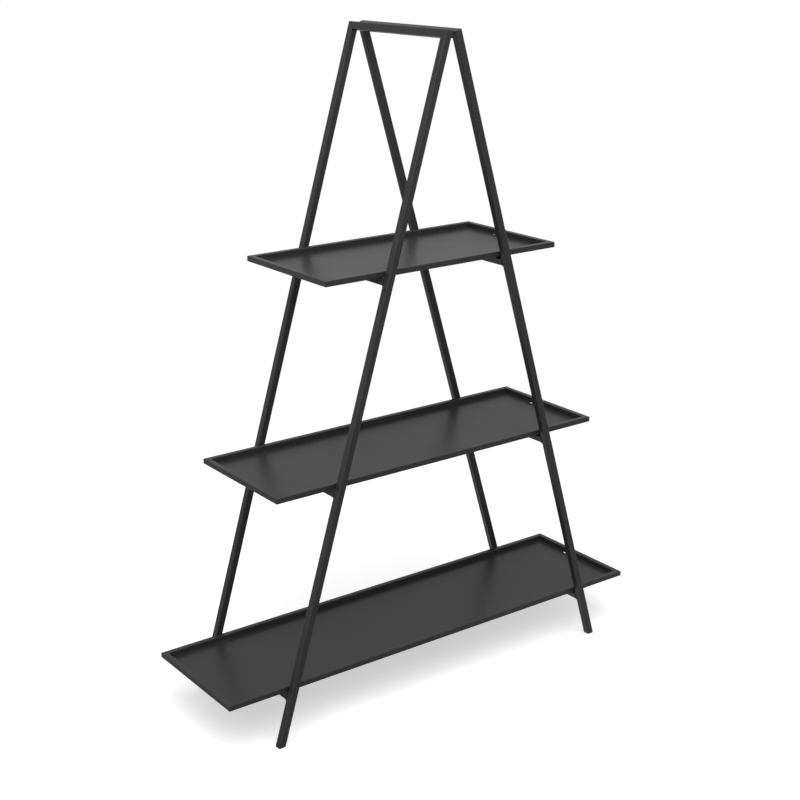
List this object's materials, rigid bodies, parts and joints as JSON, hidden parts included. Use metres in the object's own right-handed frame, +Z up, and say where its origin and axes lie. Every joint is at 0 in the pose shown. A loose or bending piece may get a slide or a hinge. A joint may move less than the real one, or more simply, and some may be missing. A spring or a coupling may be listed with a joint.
{
  "type": "plant stand",
  "caption": "Folding A-shaped metal plant stand: leaning ladder frames hinged at the top carry long shallow lift-off trays that get wider toward the floor.",
  "frame": {"origin": "on the floor, midway between the four feet, under the middle of the trays", "axes": "+X along the trays to the stand's right, +Y to the rear, +Z up; the front faces -Y"},
  "size_m": [1.1, 0.33, 1.428],
  "materials": {
    "frame_paint": "satin dark grey powder coat",
    "tray_paint": "satin dark grey powder coat",
    "hinge_steel": "steel, painted with the frame",
    "foot_plastic": "black moulded plastic"
  },
  "bodies": {
    "left_frame": {"left_front_leg": "frame_paint", "left_rear_leg": "frame_paint", "left_top_bar": "frame_paint", "left_upper_cross_bar": "frame_paint", "left_middle_cross_bar": "frame_paint", "left_lower_cross_bar": "frame_paint", "left_front_foot_plug": "foot_plastic", "left_rear_foot_plug": "foot_plastic", "front_hinge_left_leaf": "hinge_steel", "rear_hinge_left_leaf": "hinge_steel", "front_hinge_pin": "hinge_steel", "rear_hinge_pin": "hinge_steel"},
    "right_frame": {"right_front_leg": "frame_paint", "right_rear_leg": "frame_paint", "right_top_bar": "frame_paint", "right_upper_cross_bar": "frame_paint", "right_middle_cross_bar": "frame_paint", "right_lower_cross_bar": "frame_paint", "right_front_foot_plug": "foot_plastic", "right_rear_foot_plug": "foot_plastic", "front_hinge_right_leaf": "hinge_steel", "rear_hinge_right_leaf": "hinge_steel"},
    "top_tray": {"top_tray": "tray_paint", "top_tray_locating_tabs": "tray_paint"},
    "middle_tray": {"middle_tray": "tray_paint", "middle_tray_locating_tabs": "tray_paint"},
    "bottom_tray": {"bottom_tray": "tray_paint", "bottom_tray_locating_tabs": "tray_paint"}
  },
  "joints": [
    {"name": "fold_right_frame", "type": "hinge", "parent": "left_frame", "child": "right_frame", "pos_m": [0, 0, 1.42289], "axis": [0, 1, 0], "range_deg": [0, 33.4]},
    {"name": "lift_top_tray", "type": "slide", "parent": "left_frame", "child": "top_tray", "axis": [0, 0, 1], "range_m": [0, 0.425]},
    {"name": "lift_middle_tray", "type": "slide", "parent": "left_frame", "child": "middle_tray", "axis": [0, 0, 1], "range_m": [0, 0.38]},
    {"name": "lift_bottom_tray", "type": "slide", "parent": "left_frame", "child": "bottom_tray", "axis": [0, 0, 1], "range_m": [0, 0.38]}
  ]
}
